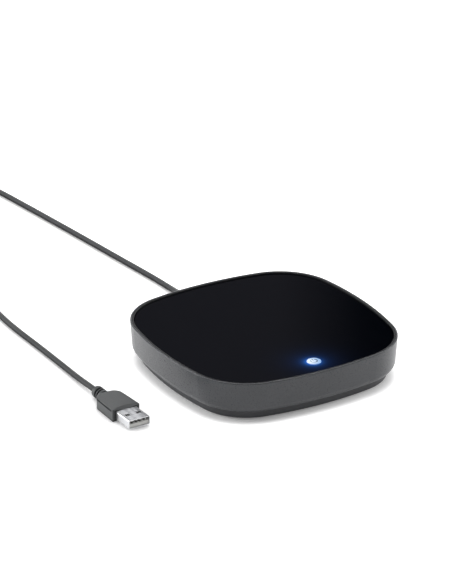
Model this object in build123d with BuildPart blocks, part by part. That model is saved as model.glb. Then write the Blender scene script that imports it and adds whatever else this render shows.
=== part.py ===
"""USB mug warmer: a square housing with a heated glass panel, a lit push button and a USB lead.

Millimetres. The origin is on the standing surface, under the middle of the housing.
+Z is up, -Y is the front (the side with the button) and +Y the rear, where the cord leaves.
"""

from math import cos, pi, radians, sin, sqrt, tan
import os

from build123d import *

os.makedirs("parts", exist_ok=True)

# ================================================================ sizes
# housing outline
body_width = 120.0  # across the middle of two opposite sides
body_height = 21.8  # rim of the side shell above the standing surface
corner_radius = 32.0
side_radius = 178.0  # crown of each side, seen from above

# side shell
shell_bottom = 5.2  # height of the shell's lower edge
shell_bottom_radius = 3.4
shell_wall = 2.3
side_draft = 1.2  # how far the side wall leans in, from the rim down to its lower edge
rim_wall = 0.9  # wall beside the top frame
rim_edge_radius = 0.35
lip_thickness = 2.7

# base and feet
underside_height = 0.8  # underside of the base above the standing surface
base_inset = 5.3  # underside's outline, in from the housing outline
base_flare = 0.8  # how far the base's side leans out, up to the shell
base_edge_radius = 0.6
base_floor = 2.0
base_wall = 1.8
base_flange = 1.4
rib_height = 1.6
rib_width = 1.0
rib_pitch = 17.0
rib_count = 4
rib_clearance = 6.5  # from the end of a rib to the middle of the nearest foot
foot_radius = 6.0
foot_depth = 1.5  # of the recess that holds a foot
foot_edge_radius = 0.5
foot_pad_wall = 1.5  # base material round a foot's recess
foot_setback = 22.5  # middle of a foot and its screw, in from two neighbouring sides

# glass panel and top frame
glass_thickness = 3.2
glass_recess = 0.7  # panel's face below the rim
glass_edge = 0.35
groove_width = 0.25
groove_depth = 0.8
frame_drop = 0.1  # frame's land below the rim
land_width = 0.75
deck_thickness = 2.0
bond_thickness = 0.3
bond_width = 4.0

# heater
heater_margin = 2.9  # between the heated disc and the ring round the button's light
spreader_thickness = 1.5
film_thickness = 0.3
film_margin = 1.0
track_margin = 1.5
track_thickness = 0.1
track_end_room = 4.5  # beyond the outermost rows
track_width = 3.4
track_gap = 1.6
pad_thickness = 3.0
clamp_thickness = 1.0
clamp_margin = 3.5  # pad left uncovered round the clamp
clamp_arm_width = 9.0
clamp_bead_start = 10.0  # of the bead pressed into each arm, from the clamp's middle
clamp_bead_room = 4.8  # between the end of a bead and the middle of the arm's screw
clamp_bead_width = 2.6
clamp_bead_depth = 0.5
clamp_screw_setback = 5.3  # outside the heated disc
clamp_boss_radius = 2.6
clamp_window_radius = 5.0
clamp_window_circle = 20.0
lead_notch_width = 14.0
slot_clearance = 0.5  # round a bead in the pad
thermistor_radius = 1.2
thermistor_length = 4.6
fuse_radius = 1.3
fuse_length = 8.5
fuse_offset = 15.0

# button and switch
button_setback = 13.7  # from the front of the housing
button_shift = 1.2  # to the right of the middle
button_radius = 3.6
button_proud = 0.2
button_wall = 0.9
button_roof = 1.1
button_edge_radius = 0.3
button_travel = 0.5
flange_radius = 4.8
flange_thickness = 0.8
switch_width = 6.0
switch_corner = 0.5
switch_height = 3.4
switch_foot_width = 0.7
switch_foot_reach = 0.9
switch_foot_thickness = 0.2
plunger_radius = 1.7
plunger_proud = 0.9
plunger_depth = 2.2
post_radius = 1.3
shroud_wall = 0.8
led_length = 1.6
led_width = 0.8
led_height = 0.6

# circuit board and what is on it
board_length = 52.0
board_width = 15.0
board_thickness = 1.6
board_drop = 3.6  # board's upper face below the deck
board_margin = 0.5  # between the board's curved front and the base's wall
board_corner_radius = 2.0
board_screw_spacing = 42.0
board_boss_radius = 2.4
chip_length = 5.0
chip_width = 4.0
chip_height = 1.5
chip_offset = 12.4
chip_legs = 4
chip_leg_pitch = 1.27
chip_leg_width = 0.4
chip_leg_reach = 1.0
transistor_width = 6.5
transistor_length = 6.0
transistor_height = 2.2
transistor_tab = 1.2
capacitor_radius = 2.5
capacitor_height = 5.0
capacitor_spacing = 6.5
capacitor_offset = 11.0
resistor_length = 1.6
resistor_width = 0.8
resistor_height = 0.5
resistor_pitch = 2.6
resistor_row = 5.6
socket_length = 10.5
socket_width = 5.6
socket_height = 4.4
socket_wall = 0.8
socket_pitch = 2.0  # between two of its four wires

# wires inside
wire_radius = 0.65
sensor_wire_radius = 0.4
wire_bend = 1.4
heater_wire_drop = 4.0  # below the clamp
heater_wire_run = 6.0  # straight, behind the socket
sensor_wire_drop = 3.0
sensor_wire_run = 9.0
sensor_wire_spacing = 1.2  # on the thermistor
cord_wire_run = 3.0  # straight, out of the jacket
cord_wire_slope = 12.0  # down to the floor of the base
cord_wire_aside = 10.0  # way round the heater's wires
cord_wire_spacing = 4.0  # along the floor
cord_wire_pad = 1.0  # middle of the two solder joints on the board, beside its centre
cord_wire_rise = 8.0  # where they leave the floor, behind the board's centre line
solder_setback = 2.0  # of the joints, in front of that line
solder_drop = 1.6  # straight, under the board

# screws
screw_radius = 1.2
screw_head_radius = 2.3
screw_head_height = 1.5
driver_recess_radius = 1.1
driver_recess_depth = 0.8
case_boss_radius = 3.6
case_screw_depth = 6.0  # how far a base screw goes into the frame's boss
case_seat_thickness = 2.6  # base material between a screw's head and the frame's boss
small_screw_depth = 2.4

# strain relief and cord
cord_diameter = 3.0
relief_flange_radius = 2.6
relief_flange_thickness = 1.6
relief_neck_radius = 2.1
relief_root_radius = 2.7
relief_tip_radius = 2.0
relief_length = 6.9  # outside its seat
relief_groove_depth = 0.35
relief_groove_width = 0.8
relief_groove_pitch = 1.8
relief_grooves = 3
jacket_inside = 9.5
cord_clamp_length = 17.0
cord_clamp_width = 5.0
cord_clamp_thickness = 1.2
cord_clamp_spacing = 12.0
cord_clamp_offset = 10.0  # from the rear wall's outside

# cord on the standing surface: points chosen by hand, and a flat coil in two layers
lead_points = [
    (0.0, 72.8, 12.05),
    (0.9, 80.0, 9.3),
    (3.0, 88.5, 3.9),
    (4.9, 100.0, 1.5),
    (3.8, 117.0, 1.5),
    (0.9, 143.0, 1.5),
    (-3.2, 182.0, 1.5),
    (-8.0, 224.0, 1.5),
    (-12.6, 262.0, 1.5),
    (-16.5, 281.0, 1.5),
    (-28.5, 293.0, 1.5),
    (-45.0, 292.0, 1.5),
    (-57.0, 278.0, 1.5),
    (-61.0, 258.0, 1.5),
    (-61.2, 236.0, 1.7),
    (-61.0, 214.0, 2.15),
]
tail_points = [
    (-63.9, 195.8, 4.8),
    (-68.0, 183.0, 3.6),
    (-75.0, 164.0, 1.9),
    (-82.2, 145.0, 1.5),
    (-87.0, 124.0, 1.5),
    (-88.6, 101.0, 1.5),
    (-88.4, 74.0, 1.5),
    (-88.7, 49.0, 1.5),
    (-89.4, 31.0, 1.9),
    (-90.22, 17.6, 3.2),
    (-90.1, 10.9, 3.2),
]
coil_centre = (-82.0, 208.0)
coil_radius = 21.0  # to the middle of the outermost turn
coil_turns = 3  # side by side in each layer
coil_layers = 2
tie_thickness = 0.6
tie_arc = 22.0  # degrees

# USB-A plug
plug_turn = 1.2  # degrees, away from straight forward
usb_width = 12.0
usb_height = 4.5
usb_sheet = 0.3
usb_exposed = 12.6
usb_buried = 6.0
usb_corner_radius = 0.6
usb_window_width = 2.5
usb_window_length = 2.0
usb_window_spacing = 6.4
usb_window_back = 6.3
tongue_thickness = 1.9
tongue_recess = 0.5
contact_width = 1.0
contact_thickness = 0.2
contact_length = 7.4
contact_setback = 1.1
contact_outer_spacing = 7.0
contact_inner_spacing = 2.0
mould_width = 15.6
mould_back_width = 13.8
mould_thickness = 6.4
mould_length = 20.4
mould_shoulder_radius = 5.0
mould_front_radius = 0.5
mould_edge_radius = 0.4
scoop_radius = 12.7  # arc that the scoop over the shell leaves on each flat face
scoop_depth = 2.6  # how far back the middle of that arc lies
side_groove_drop = 0.5  # of the groove round the sides and back, from the top face
side_groove_width = 0.8
side_groove_depth = 0.45
side_groove_end = 1.2  # where it stops short of the front
neck_radius = 2.2
neck_length = 8.2
ring_radius = 3.15
ring_spans = [(0.0, 2.6), (3.8, 4.8), (5.6, 7.6)]  # start and end of each, from the cord
ring_edge_radius = 0.4

# clearances
gap = 0.15  # between mouldings that drop into each other
running_gap = 0.05  # plunger in its bore
thread_gap = 0.02
button_gap = 0.15
flange_gap = 0.12  # between the button's flange and the glass
touch_gap = 0.05  # between pieces that rest against a curved face

# ================================================================ heights and places
glass_top = body_height - glass_recess
glass_bottom = glass_top - glass_thickness
deck_top = glass_bottom - bond_thickness
deck_bottom = deck_top - deck_thickness
spreader_bottom = glass_bottom - spreader_thickness
film_bottom = spreader_bottom - film_thickness
track_bottom = film_bottom - track_thickness
pad_bottom = track_bottom - pad_thickness
clamp_bottom = pad_bottom - clamp_thickness

floor_top = underside_height + base_floor
lip_top = shell_bottom + lip_thickness
flange_top = lip_top + base_flange
recess_top = underside_height + foot_depth
case_seat = recess_top + gap + screw_head_height
case_joint = case_seat + case_seat_thickness  # where the base's bosses meet the frame's

board_top = deck_bottom - board_drop
board_bottom = board_top - board_thickness
switch_top = board_top + switch_height
plunger_top = switch_top + plunger_proud
plunger_bottom = switch_top - plunger_depth
button_top = glass_top + button_proud
button_flange_top = glass_bottom - flange_gap
button_flange_bottom = button_flange_top - flange_thickness

foot_spacing = body_width - 2 * foot_setback
rib_field = foot_spacing - 2 * rib_clearance
button_offset = body_width / 2 - button_setback
button_place = [(button_shift, -button_offset)]
neck_inset = base_inset - base_flare
frame_inset = rim_wall + gap
land_inset = rim_wall + groove_width
pocket_inset = land_inset + land_width
glass_inset = pocket_inset + gap
shroud_inner = flange_radius + 2 * gap
shroud_outer = shroud_inner + shroud_wall
heater_radius = button_offset - shroud_outer - heater_margin
heater_opening = heater_radius + gap
clamp_screw_circle = heater_radius + clamp_screw_setback
film_radius = heater_radius - film_margin
track_radius = film_radius - track_margin
clamp_radius = film_radius - clamp_margin
clamp_bead_end = clamp_screw_circle - clamp_bead_room
clamp_bead_middle = (clamp_bead_start + clamp_bead_end) / 2
clamp_bead_length = clamp_bead_end - clamp_bead_start
track_pitch = track_width + track_gap
track_rows = 2 * int((track_radius - track_end_room) / track_pitch)  # an even number

cord_radius = cord_diameter / 2
cord_height = flange_top + gap + relief_flange_radius
cord_clamp_y = body_width / 2 - cord_clamp_offset
cord_clamp_top = cord_height - cord_radius
board_inset = neck_inset + base_wall + board_margin
board_y = -button_offset
socket_x = -chip_offset

case_places = [(x * foot_spacing / 2, y * foot_spacing / 2) for x in (-1, 1) for y in (-1, 1)]
board_places = [(x * board_screw_spacing / 2, board_y) for x in (-1, 1)]
cord_clamp_places = [(x * cord_clamp_spacing / 2, cord_clamp_y) for x in (-1, 1)]
clamp_place = clamp_screw_circle * sqrt(0.5)
clamp_places = [(x * clamp_place, y * clamp_place) for x in (-1, 1) for y in (-1, 1)]


# ================================================================ helpers
def body_outline(inset=0.0):
    """Face inside the housing's outline, drawn that far in: four crowned sides, four round corners."""
    crown_centre = body_width / 2 - side_radius
    reach = side_radius - corner_radius
    corner = (crown_centre + sqrt(2 * reach**2 - crown_centre**2)) / 2
    toward = Vector(corner, corner - crown_centre).normalized()
    end = Vector(0, crown_centre) + toward * (side_radius - inset)
    start = Vector(end.Y, end.X)
    tip = Vector(corner, corner) + Vector(1, 1).normalized() * (corner_radius - inset)
    middle = Vector(0, body_width / 2 - inset)
    far = Vector(-end.X, end.Y)
    with BuildLine() as outline:
        for quarter in range(4):
            turn = 90 * quarter
            ThreePointArc(*[point.rotate(Axis.Z, turn) for point in (start, tip, end)])
            ThreePointArc(*[point.rotate(Axis.Z, turn) for point in (end, middle, far)])
    make_face(outline.edges())


def layer(bottom, top, inset, mode=Mode.ADD):
    """Slab of the housing's shape between two heights."""
    with BuildSketch(Plane.XY.offset(bottom)) as profile:
        body_outline(inset)
    extrude(profile.sketch, amount=top - bottom, mode=mode)


def flared_layer(bottom, top, bottom_inset, top_inset, mode=Mode.ADD):
    """Slab of the housing's shape whose side leans outwards."""
    with BuildSketch(Plane.XY.offset(bottom)) as low:
        body_outline(bottom_inset)
    with BuildSketch(Plane.XY.offset(top)) as high:
        body_outline(top_inset)
    loft([low.sketch, high.sketch], ruled=True, mode=mode)


def lean(height):
    """How far the drafted side wall stands in from the rim, at one height."""
    return side_draft * (body_height - height) / (body_height - shell_bottom)


def leaning_layer(bottom, top, inset, mode=Mode.ADD):
    """Slab of the housing's shape whose side follows the drafted wall."""
    flared_layer(bottom, top, inset + lean(bottom), inset + lean(top), mode)


def posts(bottom, top, radius, places, mode=Mode.ADD):
    """Upright cylinders between two heights."""
    with BuildSketch(Plane.XY.offset(bottom)) as profile:
        with Locations(*places):
            Circle(radius)
    extrude(profile.sketch, amount=top - bottom, mode=mode)


def blocks(bottom, top, length, width, places, mode=Mode.ADD):
    """Upright blocks between two heights."""
    with BuildSketch(Plane.XY.offset(bottom)) as profile:
        with Locations(*places):
            Rectangle(length, width)
    extrude(profile.sketch, amount=top - bottom, mode=mode)


def bar(x0, x1, y0, y1):
    """Rectangle between two pairs of edges, in the sketch at hand."""
    with Locations(((x0 + x1) / 2, (y0 + y1) / 2)):
        Rectangle(abs(x1 - x0), abs(y1 - y0))


def rear_post(start, end, radius, mode=Mode.ADD):
    """Cylinder on the cord's way through the rear wall, between two distances from the middle."""
    plane = Plane(origin=(0, start, cord_height), x_dir=(-1, 0, 0), z_dir=(0, 1, 0))
    with BuildSketch(plane) as profile:
        Circle(radius)
    extrude(profile.sketch, amount=end - start, mode=mode)


def screws(seat, depth, places):
    """Pan-head screws driven from below, their heads under the seat."""
    with BuildPart() as group:
        posts(seat - screw_head_height, seat, screw_head_radius, places)
        heads = group.faces().sort_by(Axis.Z)[: len(places)]
        fillet(heads.edges(), screw_head_height / 3)
        posts(seat, seat + depth, screw_radius, places)
        with BuildSketch(Plane.XY.offset(seat - screw_head_height)):
            with Locations(*places):
                Rectangle(2 * driver_recess_radius, driver_recess_radius / 2)
                Rectangle(driver_recess_radius / 2, 2 * driver_recess_radius)
        extrude(amount=driver_recess_depth, mode=Mode.SUBTRACT)
    return group.part


def corner_radii(points):
    """Radius of the arc at each inner point of a route: as large as its two runs allow."""
    radii = []
    for before, at, after in zip(points, points[1:], points[2:]):
        first = Vector(*at) - Vector(*before)
        second = Vector(*after) - Vector(*at)
        half_turn = radians(first.get_angle(second) / 2)
        radii.append(0.45 * min(first.length, second.length) / tan(half_turn))
    return radii


def tube(points, radius, radii):
    """Round tube along straight runs joined by arcs."""
    with BuildPart() as swept:
        with BuildLine():
            path = FilletPolyline(*points, radius=radii)
        with BuildSketch(Plane(origin=path @ 0, z_dir=path % 0)):
            Circle(radius)
        sweep()
    return swept.part, path.length


def wires(routes, radius, bend):
    """Group of thin insulated wires, each along its own route."""
    found = [tube(points, radius, bend)[0].solid() for points in routes]
    return Compound(children=found)


def keep(name, part):
    """Label a finished piece and write it."""
    part.label = name
    export_step(part, f"parts/{name}.step")


# flat seats of the strain relief, outside and inside the leaning rear wall
relief_seat = body_width / 2 - lean(cord_height - relief_root_radius)
relief_inner_seat = body_width / 2 - lean(cord_height + relief_flange_radius) - shell_wall

# ================================================================ housing
with BuildPart() as side_shell:
    leaning_layer(shell_bottom, body_height, 0)
    fillet(side_shell.faces().sort_by(Axis.Z)[0].edges(), shell_bottom_radius)
    fillet(side_shell.faces().sort_by(Axis.Z)[-1].edges(), rim_edge_radius)
    layer(shell_bottom, lip_top, neck_inset - gap, Mode.SUBTRACT)
    leaning_layer(lip_top, deck_bottom, shell_wall, Mode.SUBTRACT)
    leaning_layer(deck_bottom, body_height, rim_wall, Mode.SUBTRACT)
    wall_front = relief_seat - 2 * shell_wall
    rear_post(wall_front, body_width / 2, relief_neck_radius + gap, Mode.SUBTRACT)
    rear_post(wall_front, relief_inner_seat, relief_flange_radius + gap, Mode.SUBTRACT)
    rear_post(relief_seat, body_width / 2, relief_root_radius + gap, Mode.SUBTRACT)
keep("side_shell", side_shell.part)

with BuildPart() as top_frame:
    leaning_layer(deck_bottom, body_height - groove_depth, frame_inset)
    layer(body_height - groove_depth, body_height - frame_drop, land_inset)
    layer(deck_top, body_height, pocket_inset, Mode.SUBTRACT)
    posts(deck_bottom, deck_top, heater_opening, [(0, 0)], Mode.SUBTRACT)
    posts(case_joint, deck_bottom, case_boss_radius, case_places)
    posts(board_top, deck_bottom, board_boss_radius, board_places)
    posts(pad_bottom, deck_bottom, clamp_boss_radius, clamp_places)
    posts(cord_clamp_top, deck_bottom, board_boss_radius, cord_clamp_places)
    posts(deck_bottom, deck_top, shroud_outer + gap, button_place, Mode.SUBTRACT)
    thread_radius = screw_radius + thread_gap
    posts(case_joint, case_joint + case_screw_depth + 1, thread_radius, case_places, Mode.SUBTRACT)
    posts(board_top, deck_top - 1, thread_radius, board_places, Mode.SUBTRACT)
    posts(pad_bottom, deck_top - 1, thread_radius, clamp_places, Mode.SUBTRACT)
    posts(cord_clamp_top, deck_top - 1, thread_radius, cord_clamp_places, Mode.SUBTRACT)
keep("top_frame", top_frame.part)

with BuildPart() as base_cover:
    flared_layer(underside_height, shell_bottom, base_inset, neck_inset)
    fillet(base_cover.faces().sort_by(Axis.Z)[0].edges(), base_edge_radius)
    layer(shell_bottom, lip_top, neck_inset)
    leaning_layer(lip_top, flange_top, shell_wall + gap)
    flared_layer(floor_top, shell_bottom, base_inset + base_wall, neck_inset + base_wall, Mode.SUBTRACT)
    layer(shell_bottom, flange_top, neck_inset + base_wall, Mode.SUBTRACT)
    with BuildSketch(Plane.XY.offset(floor_top)):
        with GridLocations(rib_pitch, 0, rib_count, 1):
            Rectangle(rib_width, rib_field)
        with GridLocations(0, rib_pitch, 1, rib_count):
            Rectangle(rib_field, rib_width)
    extrude(amount=rib_height)
    posts(floor_top, case_seat, foot_radius + foot_pad_wall, case_places)
    posts(case_seat, case_joint, case_boss_radius + gap, case_places)
    posts(underside_height, recess_top, foot_radius + gap, case_places, Mode.SUBTRACT)
    posts(recess_top, case_seat, screw_head_radius + 2 * gap, case_places, Mode.SUBTRACT)
    posts(case_seat, case_joint, screw_radius + gap, case_places, Mode.SUBTRACT)
keep("base_cover", base_cover.part)

with BuildPart() as rubber_feet:
    posts(0, recess_top, foot_radius, case_places)
    soles = rubber_feet.faces().sort_by(Axis.Z)[: len(case_places)]
    fillet(soles.edges(), foot_edge_radius)
keep("rubber_feet", rubber_feet.part)

keep("base_screws", screws(case_seat, case_seat_thickness + case_screw_depth, case_places))

# ================================================================ panel
with BuildPart() as heating_plate:
    layer(glass_bottom, glass_top, glass_inset)
    outer_faces = heating_plate.faces().sort_by(Axis.Z)
    chamfer((outer_faces[0].edges() + outer_faces[-1].edges()), glass_edge)
    posts(glass_bottom, glass_top, button_radius + button_gap, button_place, Mode.SUBTRACT)
keep("heating_plate", heating_plate.part)

with BuildPart() as plate_adhesive:
    layer(deck_top, glass_bottom, glass_inset + glass_edge)
    layer(deck_top, glass_bottom, glass_inset + glass_edge + bond_width, Mode.SUBTRACT)
keep("plate_adhesive", plate_adhesive.part)

# ================================================================ heater
with BuildPart() as heat_spreader:
    posts(spreader_bottom, glass_bottom, heater_radius, [(0, 0)])
    chamfer(heat_spreader.faces().sort_by(Axis.Z)[0].edges(), spreader_thickness / 4)
keep("heat_spreader", heat_spreader.part)

with BuildPart() as heater_film:
    posts(film_bottom, spreader_bottom, film_radius, [(0, 0)])
keep("heater_film", heater_film.part)


def row_height(row):
    """Middle of one row of the heating track."""
    return (row - (track_rows - 1) / 2) * track_pitch


def row_reach(row):
    """How far the track reaches out on one row, kept equal on the two rows that join there."""
    partner = row + 1 if row % 2 == 0 else row - 1
    edge = max(abs(row_height(row)), abs(row_height(partner))) + track_width / 2
    return sqrt(track_radius**2 - edge**2)


with BuildPart() as heater_track:
    with BuildSketch(Plane.XY.offset(track_bottom)):
        half_width = track_width / 2
        inner = track_gap / 2
        for side in (-1, 1):
            for row in range(track_rows):
                y = row_height(row)
                outer = row_reach(row)
                bar(side * inner, side * outer, y - half_width, y + half_width)
                if row == track_rows - 1:
                    continue
                at_outer = row % 2 == 0
                x = outer - track_width if at_outer else inner
                bar(side * x, side * (x + track_width), y, y + track_pitch)
        top_row = row_height(track_rows - 1)
        bar(-inner, inner, top_row - half_width, top_row + half_width)
    extrude(amount=track_thickness)
keep("heater_track", heater_track.part)

notch_back = row_height(0) + half_width + slot_clearance
notch_front = -heater_radius


def lead_notch(bottom, top):
    """Cut the notch that lets the heater's leads down to the board."""
    with BuildSketch(Plane.XY.offset(bottom)) as profile:
        bar(-lead_notch_width / 2, lead_notch_width / 2, notch_front, notch_back)
    extrude(profile.sketch, amount=top - bottom, mode=Mode.SUBTRACT)


with BuildPart() as insulation_pad:
    posts(pad_bottom, track_bottom, film_radius, [(0, 0)])
    lead_notch(pad_bottom, track_bottom)
    slot_width = 2 * (fuse_radius + slot_clearance)
    slot_length = fuse_length + 2 * slot_clearance
    slots = [(0, 0), (fuse_offset, 0)]
    blocks(pad_bottom, track_bottom, slot_width, slot_length, slots, Mode.SUBTRACT)
keep("insulation_pad", insulation_pad.part)

with BuildPart() as heater_clamp:
    posts(clamp_bottom, pad_bottom, clamp_radius, [(0, 0)])
    with BuildSketch(Plane.XY.offset(clamp_bottom)):
        arm_length = 2 * (clamp_screw_circle + clamp_boss_radius)
        for turn in (45, -45):
            SlotOverall(arm_length, clamp_arm_width, rotation=turn)
    extrude(amount=clamp_thickness)
    for level, width, mode in (
        (clamp_bottom, clamp_bead_width, Mode.ADD),
        (pad_bottom, clamp_bead_width - clamp_thickness, Mode.SUBTRACT),
    ):
        with BuildSketch(Plane.XY.offset(level)):
            with PolarLocations(clamp_bead_middle, 4, start_angle=45):
                SlotOverall(clamp_bead_length, width)
        extrude(amount=-clamp_bead_depth, mode=mode)
    lead_notch(clamp_bottom, pad_bottom)
    windows = [
        (clamp_window_circle * cos(radians(turn)), clamp_window_circle * sin(radians(turn)))
        for turn in (0, 90, 180)
    ]
    posts(clamp_bottom, pad_bottom, clamp_window_radius, windows + [(0, 0)], Mode.SUBTRACT)
    posts(clamp_bottom, pad_bottom, screw_radius + gap, clamp_places, Mode.SUBTRACT)
keep("heater_clamp", heater_clamp.part)

clamp_screw_depth = clamp_thickness + small_screw_depth
keep("heater_clamp_screws", screws(clamp_bottom, clamp_screw_depth, clamp_places))


def bead(radius, length, x):
    """Rounded bead lying along Y in the pad, against the heating track."""
    height = track_bottom - radius - touch_gap
    with BuildPart() as made:
        with BuildSketch(Plane(origin=(x, -length / 2, height), z_dir=(0, 1, 0))):
            Circle(radius)
        extrude(amount=length)
        fillet(made.edges(), radius * 0.6)
    return made.part


keep("thermistor", bead(thermistor_radius, thermistor_length, 0))
keep("thermal_fuse", bead(fuse_radius, fuse_length, fuse_offset))

# ================================================================ circuit board
with BuildPart() as circuit_board:
    with BuildSketch(Plane.XY.offset(board_bottom)):
        body_outline(board_inset)
        with Locations((0, board_y)):
            RectangleRounded(board_length, board_width, board_corner_radius, mode=Mode.INTERSECT)
        with Locations(*board_places):
            Circle(screw_radius + gap, mode=Mode.SUBTRACT)
    extrude(amount=board_thickness)
keep("circuit_board", circuit_board.part)

board_screw_depth = board_thickness + small_screw_depth
keep("board_screws", screws(board_bottom, board_screw_depth, board_places))

with BuildPart() as control_chip:
    blocks(board_top + switch_foot_thickness, board_top + chip_height, chip_width, chip_length,
           [(-chip_offset, board_y)])
    chamfer(control_chip.edges().filter_by(Axis.Y).group_by(Axis.Z)[-1], chip_height / 5)
    with BuildSketch(Plane.XY.offset(board_top)):
        with Locations((-chip_offset, board_y)):
            with GridLocations(chip_width, chip_leg_pitch, 2, chip_legs):
                Rectangle(2 * chip_leg_reach, chip_leg_width)
    extrude(amount=chip_height / 3)
keep("control_chip", control_chip.part)

with BuildPart() as power_transistor:
    place = [(chip_offset, board_y)]
    blocks(board_top, board_top + transistor_height, transistor_length, transistor_width, place)
    chamfer(power_transistor.faces().sort_by(Axis.Z)[-1].edges(), transistor_height / 6)
    tab = [(chip_offset, board_y + (transistor_width + transistor_tab) / 2)]
    blocks(board_top, board_top + transistor_height / 4, transistor_length * 0.8, transistor_tab, tab)
keep("power_transistor", power_transistor.part)

with BuildPart() as capacitors:
    cans = [(capacitor_offset + x * capacitor_spacing / 2, board_y) for x in (-1, 1)]
    posts(board_bottom - capacitor_height, board_bottom, capacitor_radius, cans)
    ends = capacitors.faces().sort_by(Axis.Z)[: len(cans)]
    fillet(ends.edges(), capacitor_radius / 6)
keep("capacitors", capacitors.part)

with BuildPart() as resistors:
    with BuildSketch(Plane.XY.offset(board_top)):
        for side in (-1, 1):
            with Locations((side * chip_offset, board_y)):
                with GridLocations(resistor_pitch, 2 * resistor_row, 2, 2):
                    Rectangle(resistor_length, resistor_width)
    extrude(amount=resistor_height)
keep("resistors", resistors.part)

with BuildPart() as lead_socket:
    place = [(socket_x, board_y)]
    blocks(board_bottom - socket_height, board_bottom, socket_length, socket_width, place)
    socket_level = board_bottom - socket_height / 2
    mouth = (socket_x, board_y + socket_width / 2, socket_level)
    cavity = Plane(origin=mouth, x_dir=(1, 0, 0), z_dir=(0, -1, 0))
    with BuildSketch(cavity):
        Rectangle(socket_length - 2 * socket_wall, socket_height - 2 * socket_wall)
    extrude(amount=socket_width - socket_wall, mode=Mode.SUBTRACT)
keep("lead_socket", lead_socket.part)

with BuildPart() as lead_plug:
    inside = cavity.offset(-socket_wall)
    with BuildSketch(inside):
        Rectangle(socket_length - 2 * socket_wall - gap, socket_height - 2 * socket_wall - gap)
    extrude(amount=socket_width)
keep("lead_plug", lead_plug.part)

# ================================================================ button
with BuildPart() as switch_body:
    blocks(board_top, switch_top, switch_width, switch_width, button_place)
    chamfer(switch_body.edges().filter_by(Axis.Z), switch_corner)
    foot_x = (switch_width + switch_foot_reach) / 2
    feet = [
        (button_shift + x * foot_x, board_y + y * switch_width / 3) for x in (-1, 1) for y in (-1, 1)
    ]
    blocks(board_top, board_top + switch_foot_thickness, switch_foot_reach, switch_foot_width, feet)
    bore_bottom = plunger_bottom - button_travel - 2 * gap
    posts(bore_bottom, switch_top, plunger_radius + running_gap, button_place, Mode.SUBTRACT)
keep("switch_body", switch_body.part)

with BuildPart() as switch_plunger:
    posts(plunger_bottom, plunger_top, plunger_radius, button_place)
    fillet(switch_plunger.faces().sort_by(Axis.Z)[-1].edges(), plunger_radius / 8)
keep("switch_plunger", switch_plunger.part)

with BuildPart() as button_cap:
    posts(button_flange_bottom, button_flange_top, flange_radius, button_place)
    posts(button_flange_top, button_top, button_radius, button_place)
    fillet(button_cap.faces().sort_by(Axis.Z)[-1].edges(), button_edge_radius)
    roof = button_top - button_roof
    posts(button_flange_bottom, roof, button_radius - button_wall, button_place, Mode.SUBTRACT)
    posts(plunger_top, roof, post_radius, button_place)
keep("button_cap", button_cap.part)

with BuildPart() as light_shroud:
    posts(board_top, glass_bottom, shroud_outer, button_place)
    posts(board_top, glass_bottom, shroud_inner, button_place, Mode.SUBTRACT)
keep("light_shroud", light_shroud.part)

with BuildPart() as status_leds:
    led_y = (switch_width / 2 + shroud_inner) / 2
    leds = [(button_shift, board_y - led_y), (button_shift, board_y + led_y)]
    blocks(board_top, board_top + led_height, led_length, led_width, leds)
keep("status_leds", status_leds.part)

# ================================================================ wires inside
lead_x = inner + half_width
low_level = floor_top + rib_height + 2 * wire_radius
plug_back = board_y + socket_width / 2 + socket_wall
wire_places = [socket_x + (number - 1.5) * socket_pitch for number in range(4)]
heater_routes = [
    [
        (side * lead_x, row_height(0), track_bottom),
        (side * lead_x, row_height(0), clamp_bottom - heater_wire_drop),
        (x, plug_back + heater_wire_run, socket_level),
        (x, plug_back, socket_level),
    ]
    for side, x in zip((-1, 1), wire_places[2:])
]
keep("heater_leads", wires(heater_routes, wire_radius, wire_bend))

thermistor_level = track_bottom - 2 * (thermistor_radius + touch_gap)
sensor_routes = [
    [
        (side * sensor_wire_spacing / 2, 0, thermistor_level),
        (side * sensor_wire_spacing / 2, 0, clamp_bottom - sensor_wire_drop),
        (x, plug_back + sensor_wire_run, socket_level),
        (x, plug_back, socket_level),
    ]
    for side, x in zip((-1, 1), wire_places[:2])
]
keep("sensor_leads", wires(sensor_routes, sensor_wire_radius, wire_bend))

jacket_start = relief_inner_seat - gap - relief_flange_thickness
jacket_end = jacket_start - jacket_inside
jacket_wire_x = wire_radius + touch_gap
floor_start = jacket_end - cord_wire_run - cord_wire_slope
cord_routes = []
for side in (-1, 1):
    floor_x = cord_wire_aside + side * cord_wire_spacing / 2
    board_x = cord_wire_pad + side * cord_wire_spacing / 2
    cord_routes.append([
        (side * jacket_wire_x, jacket_end, cord_height),
        (side * jacket_wire_x, jacket_end - cord_wire_run, cord_height),
        (floor_x, floor_start, low_level),
        (floor_x, board_y / 2, low_level),
        (board_x, board_y + cord_wire_rise, low_level),
        (board_x, board_y - solder_setback, board_bottom - solder_drop),
        (board_x, board_y - solder_setback, board_bottom),
    ])
inner_wires = wires(cord_routes, wire_radius, wire_radius * 2)
with BuildPart() as jacket_stub:
    rear_post(jacket_end, jacket_start, cord_radius)
keep("cord_leads", Compound(children=[jacket_stub.part.solid(), *inner_wires.solids()]))

with BuildPart() as cord_clamp:
    with BuildSketch(Plane.XY.offset(cord_clamp_top - cord_clamp_thickness)):
        with Locations((0, cord_clamp_y)):
            SlotOverall(cord_clamp_length, cord_clamp_width)
        with Locations(*cord_clamp_places):
            Circle(screw_radius + gap, mode=Mode.SUBTRACT)
    extrude(amount=cord_clamp_thickness)
keep("cord_clamp", cord_clamp.part)

cord_clamp_seat = cord_clamp_top - cord_clamp_thickness
cord_screw_depth = cord_clamp_thickness + small_screw_depth
keep("cord_clamp_screws", screws(cord_clamp_seat, cord_screw_depth, cord_clamp_places))

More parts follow.
